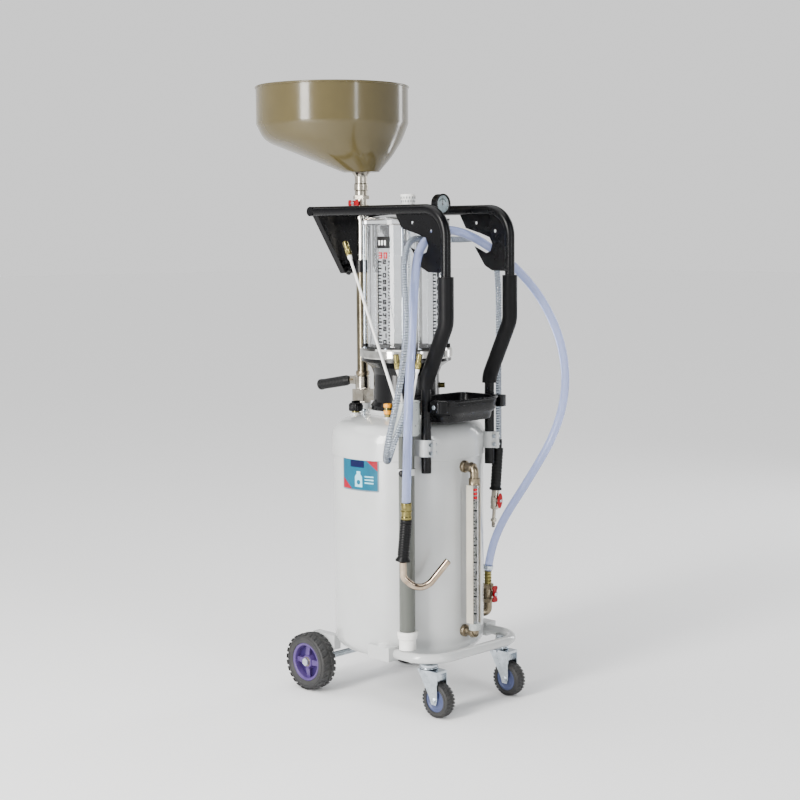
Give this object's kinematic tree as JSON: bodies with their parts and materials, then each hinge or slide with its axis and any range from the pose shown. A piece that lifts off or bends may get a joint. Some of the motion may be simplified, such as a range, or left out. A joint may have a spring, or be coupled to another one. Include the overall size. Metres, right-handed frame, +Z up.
{
  "type": "mobile waste oil drainer",
  "caption": "Wheeled waste-oil tank with a clear measuring bowl, an offset drain funnel on a sliding post, a tool tray, and suction and discharge hoses.",
  "frame": {"origin": "on the floor, under the middle of the object's outline without its hoses", "axes": "+Z up, -Y towards the casters and the tool tray, +Y towards the rear wheels and the funnel, +X to the side of the discharge valve"},
  "size_m": [0.6024, 0.788, 1.593],
  "materials": {
    "cream_paint": "gloss",
    "white_plastic": "satin",
    "zinc_steel": "satin",
    "tyre_rubber": "matte",
    "violet_plastic": "satin",
    "blue_grey_plastic": "satin",
    "black_paint": "satin",
    "grip_rubber": "matte",
    "black_plastic": "satin",
    "nickel": "satin",
    "chrome": "polished",
    "red_paint": "gloss",
    "olive_paint": "gloss",
    "black_casting": "gloss",
    "clear_plastic": "clear",
    "smoked_plastic": "clear",
    "frosted_plastic": "frosted",
    "brass": "satin",
    "brass_nickel": "satin",
    "clear_hose": "clear",
    "wire_hose": "clear"
  },
  "bodies": {
    "chassis": {"axle_brackets": "cream_paint", "base_frame": "cream_paint", "bowl_cylinder": "clear_plastic", "bowl_flange": "nickel", "bowl_lid": "clear_plastic", "bowl_pedestal": "black_casting", "caster_stems": "zinc_steel", "discharge_grip": "grip_rubber", "discharge_hose": "clear_hose", "discharge_spout": "chrome", "fasteners": "zinc_steel", "fittings": "brass", "hand_grips": "grip_rubber", "handle_crossbar": "black_paint", "handle_left": "black_paint", "handle_right": "black_paint", "hook_plates": "black_paint", "level_elbows": "brass_nickel", "level_guard": "cream_paint", "level_tube": "clear_plastic", "outlet_valve": "brass_nickel", "post_base": "nickel", "post_clamp": "black_plastic", "post_sleeve": "nickel", "probe_cup": "white_plastic", "probe_holder": "frosted_plastic", "probe_tube": "smoked_plastic", "rear_axle": "zinc_steel", "rear_panel": "black_paint", "silencer": "white_plastic", "suction_grip": "grip_rubber", "suction_hose": "wire_hose", "suction_valve": "nickel", "tank": "cream_paint", "tool_tray": "black_plastic", "tube_clamps": "cream_paint", "vacuum_gauge": "black_casting"},
    "rear_wheel_left": {"rear_tyre_left": "tyre_rubber", "rear_hub_left": "violet_plastic"},
    "rear_wheel_right": {"rear_tyre_right": "tyre_rubber", "rear_hub_right": "violet_plastic"},
    "caster_swivel_left": {"caster_fork_left": "zinc_steel"},
    "caster_swivel_right": {"caster_fork_right": "zinc_steel"},
    "caster_wheel_left": {"caster_tyre_left": "tyre_rubber", "caster_hub_left": "blue_grey_plastic"},
    "caster_wheel_right": {"caster_tyre_right": "tyre_rubber", "caster_hub_right": "blue_grey_plastic"},
    "mast": {"mast_tube": "chrome", "funnel_valve": "nickel"},
    "funnel": {"funnel": "olive_paint"},
    "funnel_tap": {"funnel_valve_handle": "red_paint"},
    "post_lever": {"valve_lever": "grip_rubber"},
    "clamp_knob": {"star_knob": "black_plastic"},
    "outlet_tap": {"outlet_handle": "red_paint"},
    "gun_lever": {"suction_lever": "red_paint"},
    "filler_cap": {"filler_cap": "black_plastic"},
    "needle": {"gauge_needle": "red_paint"},
    "probe_long": {"probe_long": "white_plastic"},
    "probe_medium": {"probe_medium": "white_plastic"},
    "probe_short": {"probe_short": "white_plastic"}
  },
  "joints": [
    {"name": "rear_wheel_left_spin", "type": "hinge", "parent": "chassis", "child": "rear_wheel_left", "pos_m": [-0.183, 0.083, 0.076], "axis": [1, 0, 0], "continuous": true},
    {"name": "caster_left_swivel", "type": "hinge", "parent": "chassis", "child": "caster_swivel_left", "pos_m": [-0.134, -0.303, 0.116], "axis": [0, 0, 1], "continuous": true},
    {"name": "caster_left_spin", "type": "hinge", "parent": "caster_swivel_left", "child": "caster_wheel_left", "pos_m": [-0.134, -0.336, 0.045], "axis": [1, 0, 0], "continuous": true},
    {"name": "rear_wheel_right_spin", "type": "hinge", "parent": "chassis", "child": "rear_wheel_right", "pos_m": [0.183, 0.083, 0.076], "axis": [1, 0, 0], "continuous": true},
    {"name": "caster_right_swivel", "type": "hinge", "parent": "chassis", "child": "caster_swivel_right", "pos_m": [0.134, -0.303, 0.116], "axis": [0, 0, 1], "continuous": true},
    {"name": "caster_right_spin", "type": "hinge", "parent": "caster_swivel_right", "child": "caster_wheel_right", "pos_m": [0.134, -0.336, 0.045], "axis": [1, 0, 0], "continuous": true},
    {"name": "mast_slide", "type": "slide", "parent": "chassis", "child": "mast", "axis": [0, 0, 1], "range_m": [-0.05, 0.2]},
    {"name": "funnel_swivel", "type": "hinge", "parent": "mast", "child": "funnel", "pos_m": [0, 0.066, 1.33], "axis": [0, 0, 1], "continuous": true},
    {"name": "funnel_tap_turn", "type": "hinge", "parent": "mast", "child": "funnel_tap", "pos_m": [-0.02, 0.066, 1.282], "axis": [1, 0, 0], "range_deg": [0, 90]},
    {"name": "post_lever_turn", "type": "hinge", "parent": "chassis", "child": "post_lever", "pos_m": [0, 0.099, 0.812], "axis": [1, 0, 0], "range_deg": [0, 75]},
    {"name": "clamp_knob_turn", "type": "hinge", "parent": "chassis", "child": "clamp_knob", "pos_m": [0, 0.1145, 1.111], "axis": [0, 1, 0], "range_deg": [0, 180]},
    {"name": "outlet_tap_turn", "type": "hinge", "parent": "chassis", "child": "outlet_tap", "pos_m": [0.188, -0.234, 0.244], "axis": [0, 1, 0], "range_deg": [0, 90]},
    {"name": "gun_lever_turn", "type": "hinge", "parent": "chassis", "child": "gun_lever", "pos_m": [0.13783, -0.299, 0.50872], "axis": [0, 1, 0], "range_deg": [0, 90]},
    {"name": "filler_cap_turn", "type": "hinge", "parent": "chassis", "child": "filler_cap", "pos_m": [-0.076, 0.014, 0.75], "axis": [0, 0, 1], "range_deg": [0, 360]},
    {"name": "needle_turn", "type": "hinge", "parent": "chassis", "child": "needle", "pos_m": [0.04, -0.192, 1.275], "axis": [0, 1, 0], "range_deg": [0, 270]},
    {"name": "probe_long_draw", "type": "slide", "parent": "chassis", "child": "probe_long", "axis": [-0.001, 0.4114, 0.9115], "range_m": [0, 0.3]},
    {"name": "probe_medium_draw", "type": "slide", "parent": "chassis", "child": "probe_medium", "axis": [-0.0824, 0.088, 0.9927], "range_m": [0, 0.3]},
    {"name": "probe_short_draw", "type": "slide", "parent": "chassis", "child": "probe_short", "axis": [0.1091, -0.1165, 0.9872], "range_m": [0, 0.18]}
  ]
}
